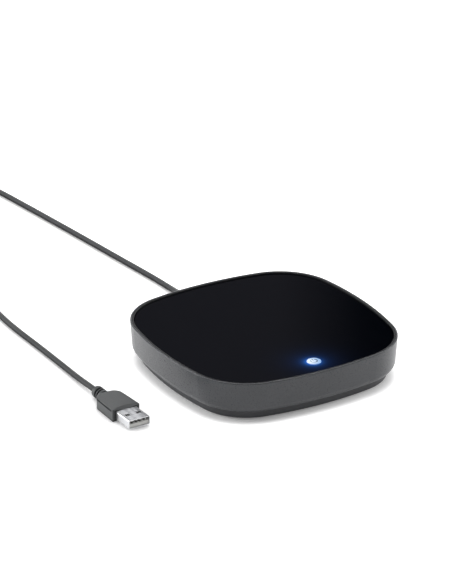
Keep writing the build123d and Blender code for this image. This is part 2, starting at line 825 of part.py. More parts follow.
# ================================================================ strain relief
relief_tip = relief_seat + relief_length
rear_wall = Plane(origin=(0, 0, cord_height), x_dir=(-1, 0, 0), z_dir=(0, 1, 0))

with BuildPart() as strain_relief:
    rear_post(jacket_start, relief_inner_seat - gap, relief_flange_radius)
    rear_post(relief_inner_seat - gap, relief_seat + touch_gap, relief_neck_radius)
    with BuildSketch(rear_wall.offset(relief_seat + touch_gap)):
        Circle(relief_root_radius)
    with BuildSketch(rear_wall.offset(relief_tip)):
        Circle(relief_tip_radius)
    loft(ruled=True)
    for number in range(relief_grooves):
        start = relief_tip - relief_groove_pitch * (number + 1)
        with BuildSketch(rear_wall.offset(start)):
            Circle(relief_root_radius)
            Circle(relief_tip_radius - relief_groove_depth, mode=Mode.SUBTRACT)
        extrude(amount=relief_groove_width, mode=Mode.SUBTRACT)
keep("strain_relief", strain_relief.part)

# ================================================================ cord
lead_route = [(0, relief_tip, cord_height), *lead_points]
for name, route in (("power_cord_lead", lead_route), ("power_cord_tail", tail_points)):
    radii = corner_radii(route)
    cord, length = tube(route, cord_radius, radii)
    keep(name, cord)
    section = pi * cord_radius**2
    print(name, "length", round(length, 1), "volume / section", round(cord.volume / section, 1))
    print("  arcs", [round(radius, 1) for radius in radii])

coil_inner = coil_radius - (coil_turns + 0.5) * cord_diameter
coil_outer = coil_radius + cord_radius
coil_bottom = tie_thickness + touch_gap
coil_height = coil_layers * cord_diameter
across_coil = Plane(origin=(*coil_centre, coil_bottom), x_dir=(1, 0, 0), z_dir=(0, -1, 0))
coil_axis = Axis((*coil_centre, 0), (0, 0, 1))
tie_plane = Plane(origin=(*coil_centre, coil_bottom), x_dir=(-1, 0, 0), z_dir=(0, 1, 0))
coil_middle = (coil_inner + coil_outer) / 2
coil_width = coil_outer - coil_inner

with BuildPart() as power_cord_coil:
    with BuildSketch(across_coil):
        with Locations((coil_middle, coil_height / 2)):
            RectangleRounded(coil_width, coil_height, cord_radius * 0.8)
    revolve(axis=coil_axis)
keep("power_cord_coil", power_cord_coil.part)

with BuildPart() as cord_tie:
    for clearance, mode in ((touch_gap + tie_thickness, Mode.ADD), (touch_gap, Mode.SUBTRACT)):
        with BuildSketch(tie_plane):
            with Locations((coil_middle, coil_height / 2)):
                RectangleRounded(
                    coil_width + 2 * clearance, coil_height + 2 * clearance, cord_radius * 0.8
                )
        revolve(axis=coil_axis, revolution_arc=tie_arc, mode=mode)
keep("cord_tie", cord_tie.part)

# ================================================================ USB-A plug
cord_end = Vector(*tail_points[-1])
turn = radians(plug_turn)
along_plug = Plane(origin=cord_end, x_dir=(cos(turn), sin(turn), 0), z_dir=(sin(turn), -cos(turn), 0))
above_plug = Plane(origin=cord_end, x_dir=(cos(turn), sin(turn), 0), z_dir=(0, 0, 1))
mould_front = neck_length + mould_length
usb_tip = mould_front + usb_exposed
usb_back = mould_front - usb_buried


with BuildPart() as usb_plug_body:
    with BuildSketch(above_plug) as outline:
        with BuildLine():
            Polyline(
                (-mould_width / 2, -mould_front),
                (mould_width / 2, -mould_front),
                (mould_back_width / 2, -neck_length),
                (-mould_back_width / 2, -neck_length),
                close=True,
            )
        make_face()
        fillet(outline.vertices().group_by(Axis.Y)[-1], mould_shoulder_radius)
        fillet(outline.vertices().group_by(Axis.Y)[0], mould_front_radius)
    extrude(amount=mould_thickness / 2, both=True)
    flat_faces = usb_plug_body.faces().filter_by(Plane.XY)
    fillet(flat_faces.edges(), mould_edge_radius)
    with BuildSketch(above_plug.offset(mould_thickness / 2 - side_groove_drop)):
        add(outline.sketch_local)
        offset(amount=-side_groove_depth, mode=Mode.SUBTRACT)
        with Locations((0, -mould_front)):
            Rectangle(mould_width, 2 * side_groove_end, mode=Mode.SUBTRACT)
    extrude(amount=-side_groove_width, mode=Mode.SUBTRACT)
    scoop_centre = scoop_depth - scoop_radius - mould_front
    for side in (-1, 1):
        facing = Plane(origin=cord_end, x_dir=above_plug.x_dir, z_dir=(0, 0, side))
        with BuildSketch(facing.offset(usb_height / 2)):
            with Locations((0, side * scoop_centre)):
                Circle(scoop_radius - scoop_depth)
        with BuildSketch(facing.offset(mould_thickness / 2)):
            with Locations((0, side * scoop_centre)):
                Circle(scoop_radius)
        loft(ruled=True, mode=Mode.SUBTRACT)
    neck_root = -neck_length - mould_edge_radius - side_groove_depth
    with BuildSketch(above_plug) as neck_profile:
        bar(0, neck_radius, neck_root, 0)
        for start, end in ring_spans:
            bar(0, ring_radius, -end, -start)
        fillet(neck_profile.vertices().group_by(Axis.X)[-1], ring_edge_radius)
    revolve(axis=Axis(cord_end, along_plug.z_dir))
    with BuildSketch(along_plug.offset(usb_back)):
        RectangleRounded(usb_width, usb_height, usb_corner_radius)
    extrude(amount=usb_buried, mode=Mode.SUBTRACT)
keep("usb_plug_body", usb_plug_body.part)

inner_width = usb_width - 2 * usb_sheet
inner_height = usb_height - 2 * usb_sheet
with BuildPart() as usb_plug_shell:
    with BuildSketch(along_plug.offset(usb_back)):
        RectangleRounded(usb_width, usb_height, usb_corner_radius)
        RectangleRounded(inner_width, inner_height, usb_corner_radius - usb_sheet, mode=Mode.SUBTRACT)
    extrude(amount=usb_buried + usb_exposed)
    with BuildSketch(above_plug.offset(-usb_height)):
        with Locations((0, usb_window_back - usb_tip)):
            with GridLocations(usb_window_spacing, 0, 2, 1):
                Rectangle(usb_window_width, usb_window_length)
    extrude(amount=2 * usb_height, mode=Mode.SUBTRACT)
keep("usb_plug_shell", usb_plug_shell.part)

tongue_top = tongue_thickness - inner_height / 2
with BuildPart() as usb_plug_tongue:
    with BuildSketch(along_plug.offset(usb_back)):
        RectangleRounded(inner_width - gap, inner_height - gap, usb_corner_radius - usb_sheet)
    extrude(amount=usb_buried + usb_exposed - tongue_recess)
    with BuildSketch(along_plug.offset(mould_front)):
        with Locations((0, tongue_top)):
            Rectangle(usb_width, usb_height, align=(Align.CENTER, Align.MIN))
    extrude(amount=usb_exposed, mode=Mode.SUBTRACT)
keep("usb_plug_tongue", usb_plug_tongue.part)

with BuildPart() as usb_plug_contacts:
    with BuildSketch(above_plug.offset(tongue_top)):
        with Locations((0, contact_setback + contact_length / 2 - usb_tip)):
            for spacing in (contact_outer_spacing, contact_inner_spacing):
                with GridLocations(spacing, 0, 2, 1):
                    Rectangle(contact_width, contact_length)
    extrude(amount=contact_thickness)
keep("usb_plug_contacts", usb_plug_contacts.part)

tip = along_plug.offset(usb_tip).origin
print("plug tip", round(tip.X, 2), round(tip.Y, 2), round(tip.Z, 2))
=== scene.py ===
"""Looks of a USB mug warmer: housing finishes, lit power button, free cord, plug and studio.

Lengths are in metres. The origin is on the standing surface under the middle of the housing,
+Z is up and -Y is the front, the side with the button.
"""

import bpy
import numpy as np
from mathutils import Matrix, Vector


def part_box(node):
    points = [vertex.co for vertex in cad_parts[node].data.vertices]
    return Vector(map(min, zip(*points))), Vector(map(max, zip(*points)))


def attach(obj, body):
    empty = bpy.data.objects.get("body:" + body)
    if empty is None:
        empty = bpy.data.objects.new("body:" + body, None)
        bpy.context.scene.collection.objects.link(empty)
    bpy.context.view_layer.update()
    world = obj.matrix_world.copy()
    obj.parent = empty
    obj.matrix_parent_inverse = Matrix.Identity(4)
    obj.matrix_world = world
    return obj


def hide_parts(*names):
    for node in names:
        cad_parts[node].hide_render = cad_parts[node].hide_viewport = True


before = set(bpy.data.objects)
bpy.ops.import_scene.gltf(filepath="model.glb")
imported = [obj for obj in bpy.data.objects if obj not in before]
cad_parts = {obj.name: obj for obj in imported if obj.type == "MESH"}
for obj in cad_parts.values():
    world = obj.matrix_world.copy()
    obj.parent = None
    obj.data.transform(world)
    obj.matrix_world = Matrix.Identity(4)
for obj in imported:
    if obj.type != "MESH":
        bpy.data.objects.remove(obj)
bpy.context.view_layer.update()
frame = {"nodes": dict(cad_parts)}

bl_info = {
    "name": "USB Mug Warmer",
    "version": (1, 0, 0),
    "blender": (4, 5, 0),
    "location": "3D View > Sidebar > Mug Warmer",
    "description": "Finishes a USB mug warmer, lays its cord and lights it",
    "category": "Object",
}

MM = 0.001
HOUSING = "housing"
BUTTON = "button"
BUTTON_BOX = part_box("button_cap")
BUTTON_TOP = BUTTON_BOX[1].z
BUTTON_X = (BUTTON_BOX[0].x + BUTTON_BOX[1].x) / 2
BUTTON_Y = (BUTTON_BOX[0].y + BUTTON_BOX[1].y) / 2
BUTTON_RADIUS = (BUTTON_BOX[1].x - BUTTON_BOX[0].x) / 2

# middles of the light, from the button's middle: of what spills on the glass, and of the lens
SPILL_X, SPILL_Y = -0.9 * MM, -0.3 * MM
LAMP_X, LAMP_Y = -2.5 * MM, 0.6 * MM
LAMP_NEAR, LAMP_FAR = 1.6 * MM, 5.6 * MM  # where the lens starts and ends turning blue
INK_LEFT, INK_RIGHT = -1.2 * MM, 1.0 * MM  # where the sign starts and ends turning dark
INK_STRENGTH = 0.7

# level directions of the camera's view
VIEW_RIGHT = (0.859, -0.512, 0)
VIEW_AWAY = (0.512, 0.859, 0)

CAMERA_PLACE = (-1.10513, -1.81726, 1.0194)
CAMERA_AIM = (0.02906, 0.08556, 0)
CAMERA_ROLL = 0.0016  # radians, about its own view
SENSOR_WIDTH = 36  # millimetres


def linear(code):
    """Linear colour of an sRGB hex code.

    v / 12.92 up to 0.04045, ((v + 0.055) / 1.055) ** 2.4 above it.
    """
    value = np.array([int(code[i:i + 2], 16) for i in (1, 3, 5)]) / 255
    return tuple(np.where(value <= 0.04045, value / 12.92, ((value + 0.055) / 1.055) ** 2.4))


# ---------------------------------------------------------------- sizes and colours
def shade(name, description, code):
    """Colour property with that sRGB hex code as its default."""
    return bpy.props.FloatVectorProperty(
        name=name, description=description, subtype="COLOR", size=3, min=0, max=1,
        default=linear(code),
    )


def length(name, description, default):
    """Length property whose default is in millimetres."""
    return bpy.props.FloatProperty(
        name=name, description=description, subtype="DISTANCE", unit="LENGTH", min=0,
        precision=5, default=default * MM,
    )


class WarmerFinish(bpy.types.PropertyGroup):
    """Colours of the mouldings and of the light."""

    shell: shade("Side shell", "Grey ABS of the outer wall", "#3a3c40")
    frame: shade("Top frame", "Black ABS round the panel", "#242527")
    base: shade("Base", "Black ABS of the base", "#3c3d40")
    glass: shade("Panel", "Black print behind the glass", "#020409")
    cord: shade("Cord", "PVC sheath of the cord", "#545556")
    plug: shade("Plug", "PVC overmould of the plug", "#57595a")
    light: shade("Light", "Colour of the light round the button", "#3585ff")
    lens: shade("Button", "Colour of the lit button's face", "#e9f2ff")
    lens_strength: bpy.props.FloatProperty(
        name="Button light", description="Emission of the lit button's face", min=0, default=0.8
    )
    glow_strength: bpy.props.FloatProperty(
        name="Glow", description="Light spilled on the panel beside the button", min=0, default=0.13
    )
    haze_strength: bpy.props.FloatProperty(
        name="Haze", description="Light spread through the glass further out", min=0, default=0.055
    )
    glow_reach: length("Glow reach", "Distance over which the spilled light fades", 1.2)
    haze_reach: length("Haze reach", "Distance over which the haze fades", 5.0)


class MarkSizes(bpy.types.PropertyGroup):
    """Sizes of the power sign printed on the button."""

    radius: length("Radius", "Middle of the ring", 1.65)
    width: length("Line width", "Width of the ring and of the bar", 0.62)
    height: length("Ink height", "Thickness of the printed ink", 0.02)
    opening: bpy.props.FloatProperty(
        name="Opening", description="Angle left open at the top of the ring", subtype="ANGLE",
        unit="ROTATION", default=np.radians(70),
    )


class CordLay(bpy.types.PropertyGroup):
    """Sizes of the cord and of the coil that it is put away in."""

    diameter: length("Diameter", "Sheath of the cord", 3.0)
    length: length("Length", "From the strain relief to the plug", 1145.0)
    coil_x: bpy.props.FloatProperty(
        name="Coil X", description="Middle of the coil", subtype="DISTANCE", default=-82 * MM
    )
    coil_y: bpy.props.FloatProperty(
        name="Coil Y", description="Middle of the coil", subtype="DISTANCE", default=208 * MM
    )
    coil_radius: length("Coil radius", "Middle of the outermost turn", 21.0)
    coil_bottom: length("Coil bottom", "Lowest turn's centreline above the floor", 2.15)
    turns: bpy.props.IntProperty(
        name="Turns", description="Turns side by side in each layer", min=1, default=3
    )


class StudioSetup(bpy.types.PropertyGroup):
    """Camera, lamps and background."""

    lens: bpy.props.FloatProperty(
        name="Lens", description="Focal length on a 36 mm sensor", min=1, default=288.25
    )
    sky: bpy.props.FloatProperty(
        name="Sky", description="Even light from all round", min=0, default=0.4
    )
    floor: shade("Floor", "Pale floor", "#f2f2f2")


# ---------------------------------------------------------------- materials
def add_node(tree, kind, inputs=None, **settings):
    """Add one node, set its properties, then set or link each input named in the dict."""
    node = tree.nodes.new(kind)
    for name, value in settings.items():
        setattr(node, name, value)
    for name, value in (inputs or {}).items():
        if isinstance(value, bpy.types.NodeSocket):
            tree.links.new(value, node.inputs[name])
        else:
            node.inputs[name].default_value = value
    return node


def new_finish(name, colour, roughness, **constants):
    """Material with a Principled shader and these constants.

    Returns the material, its tree, the shader and the Object coordinates.
    """
    material = bpy.data.materials.new(name)
    material.use_nodes = True
    tree = material.node_tree
    shader = tree.nodes["Principled BSDF"]
    shader.inputs["Base Color"].default_value = (*colour, 1)
    shader.inputs["Roughness"].default_value = roughness
    for socket, value in constants.items():
        shader.inputs[socket.replace("_", " ")].default_value = value
    place = add_node(tree, "ShaderNodeTexCoord").outputs["Object"]
    material.diffuse_color = (*colour, 1)
    return material, tree, shader, place


def speckle(tree, place, size_mm, detail=2.0, stretch=(1, 1, 1)):
    """Noise, from 0 to 1, whose cells are that many millimetres across, before the stretch."""
    spread = add_node(tree, "ShaderNodeMapping", {"Vector": place, "Scale": stretch})
    noise = add_node(
        tree, "ShaderNodeTexNoise",
        {"Vector": spread.outputs[0], "Scale": 1 / (size_mm * MM), "Detail": detail},
    )
    return noise.outputs["Fac"]


def ranged(tree, value, low, high, start=0.3, end=0.7):
    """Value carried from start..end to low..high, held at both ends."""
    return add_node(
        tree, "ShaderNodeMapRange",
        {"Value": value, "From Min": start, "From Max": end, "To Min": low, "To Max": high},
    ).outputs["Result"]


def blended(tree, factor, first, second):
    """Colour that runs from the first to the second with the factor; each is linear or a socket."""
    first, second = (
        colour if isinstance(colour, bpy.types.NodeSocket) else (*colour, 1)
        for colour in (first, second)
    )
    return add_node(
        tree, "ShaderNodeMix", {0: factor, 6: first, 7: second}, data_type="RGBA"
    ).outputs[2]


def tinted(tree, shader, factor, dark, light):
    """Base colour that runs between two linear colours with the factor."""
    blend = blended(tree, factor, dark, light)
    tree.links.new(blend, shader.inputs["Base Color"])


def dented(tree, shader, height, depth_mm, strength=1.0):
    """Bump of that depth from a height pattern."""
    bump = add_node(
        tree, "ShaderNodeBump", {"Height": height, "Distance": depth_mm * MM, "Strength": strength}
    )
    tree.links.new(bump.outputs["Normal"], shader.inputs["Normal"])


def scaled(colour, factor):
    """Colour made lighter or darker."""
    return tuple(min(1.0, c * factor) for c in colour)


def moulded_plastic(name, colour, roughness, grain_mm, depth_mm, painted_shade_mm=0, **constants):
    """Injection-moulded ABS or PVC: a spark-eroded grain and a faint flow-line variation.

    With a shade reach, shade is painted into the colour: it falls off where the skin faces
    something nearer than that.
    """
    material, tree, shader, place = new_finish(name, colour, roughness, **constants)
    flow_mm, painted_shade_factor = 14.0, 0.15
    flow = speckle(tree, place, flow_mm, 3.0)
    skin = blended(tree, ranged(tree, flow, 0, 1), scaled(colour, 0.93), scaled(colour, 1.07))
    # painted shade: where ambient occlusion finds a surface within the reach, the colour is blended
    # down towards 0.15 of itself
    if painted_shade_mm:
        openness = add_node(
            tree, "ShaderNodeAmbientOcclusion", {"Distance": painted_shade_mm * MM}, samples=8
        ).outputs["AO"]
        shaded = scaled(colour, painted_shade_factor)
        skin = blended(tree, ranged(tree, openness, 0, 1, 0.65, 1.0), shaded, skin)
    tree.links.new(skin, shader.inputs["Base Color"])
    grain = speckle(tree, place, grain_mm, 2.0)
    tree.links.new(
        ranged(tree, grain, roughness - 0.05, roughness + 0.06), shader.inputs["Roughness"]
    )
    dented(tree, shader, grain, depth_mm)
    return material


def spilled(tree, place, strength, reach):
    """Painted light from the button: that strength at its rim, falling by e over each reach beyond
    it.
    """
    away = add_node(
        tree, "ShaderNodeVectorMath",
        {0: place, 1: (BUTTON_X + SPILL_X, BUTTON_Y + SPILL_Y, BUTTON_TOP)}, operation="DISTANCE",
    ).outputs["Value"]
    beyond = add_node(
        tree, "ShaderNodeMath", {0: away, 1: BUTTON_RADIUS}, operation="SUBTRACT"
    ).outputs[0]
    fall = add_node(
        tree, "ShaderNodeMath", {0: beyond, 1: -1 / reach}, operation="MULTIPLY"
    ).outputs[0]
    fade = add_node(tree, "ShaderNodeMath", {0: fall}, operation="EXPONENT").outputs[0]
    return add_node(
        tree, "ShaderNodeMath", {0: fade, 1: strength}, operation="MULTIPLY"
    ).outputs[0]


def printed_glass(finish):
    """Tempered float glass, polished, printed black behind: a clean mirror over black, with faint
    wiping marks, and a painted blue glow standing in for the button's light spilling through the
    clear ring round it."""
    material, tree, shader, place = new_finish("printed_float_glass", finish.glass, 0.05, IOR=1.5)
    wipe = speckle(tree, place, 9.0, 4.0, stretch=(1, 0.35, 1))
    tree.links.new(ranged(tree, wipe, 0.045, 0.06), shader.inputs["Roughness"])
    # painted light: the glass emits the light's colour near the button, fading with distance from
    # it
    glow = spilled(tree, place, finish.glow_strength, finish.glow_reach)
    haze = spilled(tree, place, finish.haze_strength, finish.haze_reach)
    strength = add_node(tree, "ShaderNodeMath", {0: glow, 1: haze}, operation="ADD").outputs[0]
    shader.inputs["Emission Color"].default_value = (*finish.light, 1)
    tree.links.new(strength, shader.inputs["Emission Strength"])
    return material


def lit_lens(finish):
    """Opal polycarbonate lit from behind: white over the lamp, at the front left, and bluer away
    from it."""
    material, tree, shader, place = new_finish(
        "opal_polycarbonate", linear("#6c7a8c"), 0.3, IOR=1.58
    )
    away = add_node(
        tree, "ShaderNodeVectorMath",
        {0: place, 1: (BUTTON_X + LAMP_X, BUTTON_Y + LAMP_Y, BUTTON_TOP)}, operation="DISTANCE",
    ).outputs["Value"]
    edge = ranged(tree, away, 0, 1, LAMP_NEAR, LAMP_FAR)
    colour = blended(tree, edge, finish.lens, linear("#74b0ee"))
    tree.links.new(colour, shader.inputs["Emission Color"])
    tree.links.new(
        ranged(tree, edge, finish.lens_strength, finish.lens_strength * 0.8, 0, 1),
        shader.inputs["Emission Strength"],
    )
    return material


def sign_ink(finish):
    """Screen-printed ink on the lit lens: a thin translucent film that lets more light through on
    the side of the lamp."""
    material, tree, shader, place = new_finish("printed_ink", linear("#0c1c2c"), 0.5)
    sideways = add_node(tree, "ShaderNodeSeparateXYZ", {"Vector": place}).outputs["X"]
    away = ranged(tree, sideways, 0, 1, BUTTON_X + INK_LEFT, BUTTON_X + INK_RIGHT)
    colour = blended(tree, away, linear("#bcd8e8"), linear("#2a5a84"))
    tree.links.new(colour, shader.inputs["Emission Color"])
    shader.inputs["Emission Strength"].default_value = INK_STRENGTH
    return material


def worked_metal(name, colour, roughness, grain_mm, stretch, depth_mm=0.004):
    """Rolled, turned or plated metal: fine marks drawn out along one way."""
    material, tree, shader, place = new_finish(name, colour, roughness, Metallic=1.0)
    marks = speckle(tree, place, grain_mm, 3.0, stretch)
    tree.links.new(
        ranged(tree, marks, roughness * 0.75, roughness * 1.3), shader.inputs["Roughness"]
    )
    tinted(tree, shader, ranged(tree, marks, 0, 1), scaled(colour, 0.9), scaled(colour, 1.05))
    dented(tree, shader, marks, depth_mm)
    return material


def soft_solid(name, colour, roughness, grain_mm, depth_mm, contrast=0.1, **constants):
    """Rubber, felt, silicone or film: an uneven matt skin."""
    material, tree, shader, place = new_finish(name, colour, roughness, **constants)
    patches = speckle(tree, place, grain_mm, 5.0)
    tinted(
        tree, shader, ranged(tree, patches, 0, 1),
        scaled(colour, 1 - contrast), scaled(colour, 1 + contrast),
    )
    dented(tree, shader, patches, depth_mm)
    return material


def woven_strap(name, colour):
    """Hook-and-loop strap: crossing ribs, about 4.4 mm apart, with a soft edge sheen."""
    rib = 0.7 * MM  # the wave turns by a radian over this, so ribs are 2 pi times this apart
    wave_turn = 20  # radians over a unit, at a scale of 1
    material, tree, shader, place = new_finish(
        name, colour, 0.9, Sheen_Weight=0.4, Sheen_Roughness=0.5
    )
    threads = [
        add_node(
            tree, "ShaderNodeTexWave",
            {"Vector": place, "Scale": 1 / rib / wave_turn, "Distortion": 0.6},
            bands_direction=way,
        ).outputs["Fac"]
        for way in ("Y", "Z")
    ]
    cloth = add_node(
        tree, "ShaderNodeMath", {0: threads[0], 1: threads[1]}, operation="MAXIMUM"
    ).outputs[0]
    tinted(tree, shader, cloth, scaled(colour, 0.5), scaled(colour, 1.5))
    dented(tree, shader, cloth, 0.15)
    return material


def coat(material, *names):
    """Give CAD nodes their material."""
    for name in names:
        data = frame["nodes"][name].data
        data.materials.clear()
        data.materials.append(material)


# ---------------------------------------------------------------- shapes
def surface(name, points, faces, body, material):
    """Mesh piece from arrays of points and quads, riding on a body."""
    mesh = bpy.data.meshes.new(name)
    mesh.from_pydata(points.tolist(), [], faces)
    mesh.update()
    piece = bpy.data.objects.new(name, mesh)
    bpy.context.scene.collection.objects.link(piece)
    mesh.materials.append(material)
    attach(piece, body)
    return piece


def ribbon(path, across, width, height):
    """Closed flat ribbon: a rectangle of that width and height carried along a path.

    Point (i, k) is path[i] + s[k] * across[i] * width / 2 + t[k] * up * height, where (s, t) runs
    round the rectangle's corners (-1, 0), (1, 0), (1, 1), (-1, 1).
    """
    corners = np.array([(-1, 0), (1, 0), (1, 1), (-1, 1)], float)
    side = corners[None, :, 0, None] * across[:, None, :] * width / 2
    rise = corners[None, :, 1, None] * np.array([0, 0, 1.0]) * height
    points = (path[:, None, :] + side + rise).reshape(-1, 3)
    count = len(path)
    i, k = np.meshgrid(np.arange(count - 1), np.arange(4), indexing="ij")
    nearby = (k + 1) % 4
    quads = np.stack([4 * i + k, 4 * i + nearby, 4 * i + 4 + nearby, 4 * i + 4 + k], axis=-1)
    last = 4 * (count - 1)
    ends = [[3, 2, 1, 0], [last, last + 1, last + 2, last + 3]]
    return points, quads.reshape(-1, 4).tolist() + ends


def power_sign(sizes):
    """Ring with an opening at its top and a bar through it, as two ribbons on the button.

    The ring's path is centre + radius * (sin a, cos a), with a from half the opening round to the
    other side of it; the bar's runs along Y from inside the ring to a little past it.
    """
    ring_points, bar_points = 61, 5
    bar_start, bar_end = 0.3, 1.25  # shares of the ring's radius
    turn = np.linspace(sizes.opening / 2, 2 * np.pi - sizes.opening / 2, ring_points)
    centre = np.array([BUTTON_X, BUTTON_Y, BUTTON_TOP])
    outward = np.stack([np.sin(turn), np.cos(turn), np.zeros_like(turn)], axis=1)
    ring, ring_faces = ribbon(centre + sizes.radius * outward, outward, sizes.width, sizes.height)
    steps = np.linspace(bar_start, bar_end, bar_points) * sizes.radius
    bar_path = centre + np.stack([0 * steps, steps, 0 * steps], axis=1)
    across = np.tile([-1.0, 0, 0], (bar_points, 1))
    bar, bar_faces = ribbon(bar_path, across, sizes.width, sizes.height)
    moved = [[corner + len(ring) for corner in face] for face in bar_faces]
    return np.vstack([ring, bar]), ring_faces + moved


# ---------------------------------------------------------------- cord
# points of the cord's route, in metres
LEAD_ROUTE = [
    (0.0, 0.066, 0.01205),
    (0.0, 0.0728, 0.01205),
    (0.0009, 0.08, 0.0093),
    (0.003, 0.0885, 0.0039),
    (0.0049, 0.1, 0.0015),
    (0.0038, 0.117, 0.0015),
    (0.0009, 0.143, 0.0015),
    (-0.0032, 0.182, 0.0015),
    (-0.008, 0.224, 0.0015),
    (-0.0126, 0.262, 0.0015),
    (-0.0165, 0.281, 0.0015),
    (-0.0285, 0.293, 0.0015),
    (-0.045, 0.292, 0.0015),
    (-0.057, 0.278, 0.0015),
    (-0.061, 0.258, 0.0015),
    (-0.0612, 0.236, 0.0017),
    (-0.061, 0.214, 0.00215),
]
TAIL_ROUTE = [
    (-0.0639, 0.1958, 0.0048),
    (-0.068, 0.183, 0.0036),
    (-0.075, 0.164, 0.0019),
    (-0.0822, 0.145, 0.0015),
    (-0.087, 0.124, 0.0015),
    (-0.0886, 0.101, 0.0015),
    (-0.0884, 0.074, 0.0015),
    (-0.0887, 0.049, 0.0015),
    (-0.0894, 0.031, 0.0019),
    (-0.09022, 0.0176, 0.0032),
    (-0.0901, 0.0109, 0.0032),
]
COIL_STEPS = 14  # points a turn


def coil_route(lay):
    """Turns of the coil: inwards by a diameter a turn in the lower layer, and back in the upper.

    Point t turns in is centre + r * (cos 2 pi t, -sin 2 pi t), with r = R - d t down to the
    innermost turn and R - d (2 n + e - t) after it, where e is a small part of a diameter. The
    height rises by a diameter between the two. All r are widened by 1 / cos(pi / steps), because
    the spline runs inside its points.
    """
    end_inset = 0.04  # e: the coil ends this part of a diameter inside its outermost turn
    climb_turns = 0.5  # taken to rise from the lower layer to the upper
    whole = 2 * lay.turns
    t = np.arange(0, whole + 0.5 / COIL_STEPS, 1 / COIL_STEPS)
    inward = np.minimum(t, whole + end_inset - t)
    radius = (lay.coil_radius - lay.diameter * inward) / np.cos(np.pi / COIL_STEPS)
    climb = np.clip((t - lay.turns) / climb_turns + 0.5, 0, 1)
    height = lay.coil_bottom + lay.diameter * climb**2 * (3 - 2 * climb)
    x = lay.coil_x + radius * np.cos(2 * np.pi * t)
    y = lay.coil_y - radius * np.sin(2 * np.pi * t)
    return np.stack([x, y, height], axis=1)


# ---------------------------------------------------------------- operators
class MUGWARMER_OT_housing(bpy.types.Operator):
    """Finish the side shell, top frame, base and feet"""

    bl_idname = "mugwarmer.housing"
    bl_label = "Housing"

    def execute(self, context):
        finish = context.scene.warmer_finish
        # ABS, moulded in a spark-eroded tool: a satin skin with a soft sheen at the corners
        coat(moulded_plastic("satin_ABS_grey", finish.shell, 0.3, 0.5, 0.006), "side_shell")
        coat(
            moulded_plastic(
                "satin_ABS_black", finish.frame, 0.45, 0.5, 0.005, Specular_IOR_Level=0.1
            ),
            "top_frame",
        )
        coat(moulded_plastic("textured_ABS_black", finish.base, 0.5, 0.6, 0.012), "base_cover")
        # natural rubber, compression moulded: dull, with a powdery unevenness
        coat(soft_solid("moulded_rubber", linear("#1c1c1e"), 0.85, 1.2, 0.02), "rubber_feet")
        # low-carbon steel, cold headed and zinc plated: bluish, softly bright
        steel = worked_metal("zinc_plated_steel", linear("#b9bdc2"), 0.32, 0.4, (1, 1, 0.2))
        coat(
            steel, "base_screws", "heater_clamp_screws", "board_screws", "cord_clamp_screws",
            "heater_clamp",
        )
        return {"FINISHED"}


class MUGWARMER_OT_panel(bpy.types.Operator):
    """Finish the heated glass panel and its bond"""

    bl_idname = "mugwarmer.panel"
    bl_label = "Glass Panel"

    def execute(self, context):
        coat(printed_glass(context.scene.warmer_finish), "heating_plate")
        # silicone sealant, cured: rubbery grey
        coat(soft_solid("cured_silicone", linear("#8c8c8a"), 0.6, 1.5, 0.03), "plate_adhesive")
        return {"FINISHED"}


class MUGWARMER_OT_button(bpy.types.Operator):
    """Light the power button and print its sign"""

    bl_idname = "mugwarmer.button"
    bl_label = "Power Button"

    def execute(self, context):
        finish = context.scene.warmer_finish
        coat(lit_lens(finish), "button_cap")
        points, faces = power_sign(context.scene.warmer_mark)
        sign = surface("power_sign", points, faces, BUTTON, sign_ink(finish))
        return {"FINISHED"}


class MUGWARMER_OT_heater(bpy.types.Operator):
    """Finish the heater stack under the panel"""

    bl_idname = "mugwarmer.heater"
    bl_label = "Heater"

    def execute(self, context):
        # aluminium sheet, cold rolled: long fine roll marks
        coat(
            worked_metal("rolled_aluminium", linear("#d4d7da"), 0.3, 0.6, (1, 0.04, 1)),
            "heat_spreader",
        )
        # polyimide film: clear amber, glossy
        coat(soft_solid("polyimide_film", linear("#b8731c"), 0.22, 6.0, 0.004), "heater_film")
        # copper-nickel resistance foil, etched: dull warm metal
        coat(worked_metal("etched_foil", linear("#b08d62"), 0.4, 0.5, (1, 1, 1)), "heater_track")
        # aramid felt, needle punched: pale, fibrous
        coat(
            soft_solid("needled_felt", linear("#ddd6c6"), 0.95, 0.9, 0.25, 0.18, Sheen_Weight=0.3),
            "insulation_pad",
        )
        # glass bead and moulded fuse body
        coat(soft_solid("epoxy_bead", linear("#3a3a3c"), 0.35, 0.8, 0.01), "thermistor")
        coat(soft_solid("glazed_ceramic", linear("#e6e3da"), 0.3, 2.0, 0.01), "thermal_fuse")
        return {"FINISHED"}


class MUGWARMER_OT_board(bpy.types.Operator):
    """Finish the circuit board and what is on it"""

    bl_idname = "mugwarmer.board"
    bl_label = "Circuit Board"

    def execute(self, context):
        # glass-epoxy laminate under solder mask: glossy green with the weave just showing
        coat(soft_solid("solder_mask", linear("#1f7a45"), 0.3, 0.8, 0.01, 0.12), "circuit_board")
        black = moulded_plastic("transfer_moulded_epoxy", linear("#29292b"), 0.55, 0.3, 0.008)
        coat(black, "control_chip", "power_transistor", "resistors", "switch_body")
        # aluminium cans, deep drawn: bright and lightly streaked
        coat(
            worked_metal("drawn_aluminium", linear("#cfd2d5"), 0.3, 0.5, (1, 1, 0.1)),
            "capacitors",
        )
        white = moulded_plastic("moulded_nylon_white", linear("#e4e3dd"), 0.45, 0.4, 0.008)
        coat(white, "lead_socket", "lead_plug", "light_shroud", "status_leds", "switch_plunger")
        # silicone and PVC insulation, extruded
        red = soft_solid("extruded_PVC_red", linear("#b52a22"), 0.35, 2.5, 0.01)
        coat(red, "heater_leads", "sensor_leads", "cord_leads")
        coat(
            moulded_plastic("moulded_nylon_black", linear("#2b2b2d"), 0.45, 0.5, 0.01),
            "cord_clamp",
        )
        return {"FINISHED"}


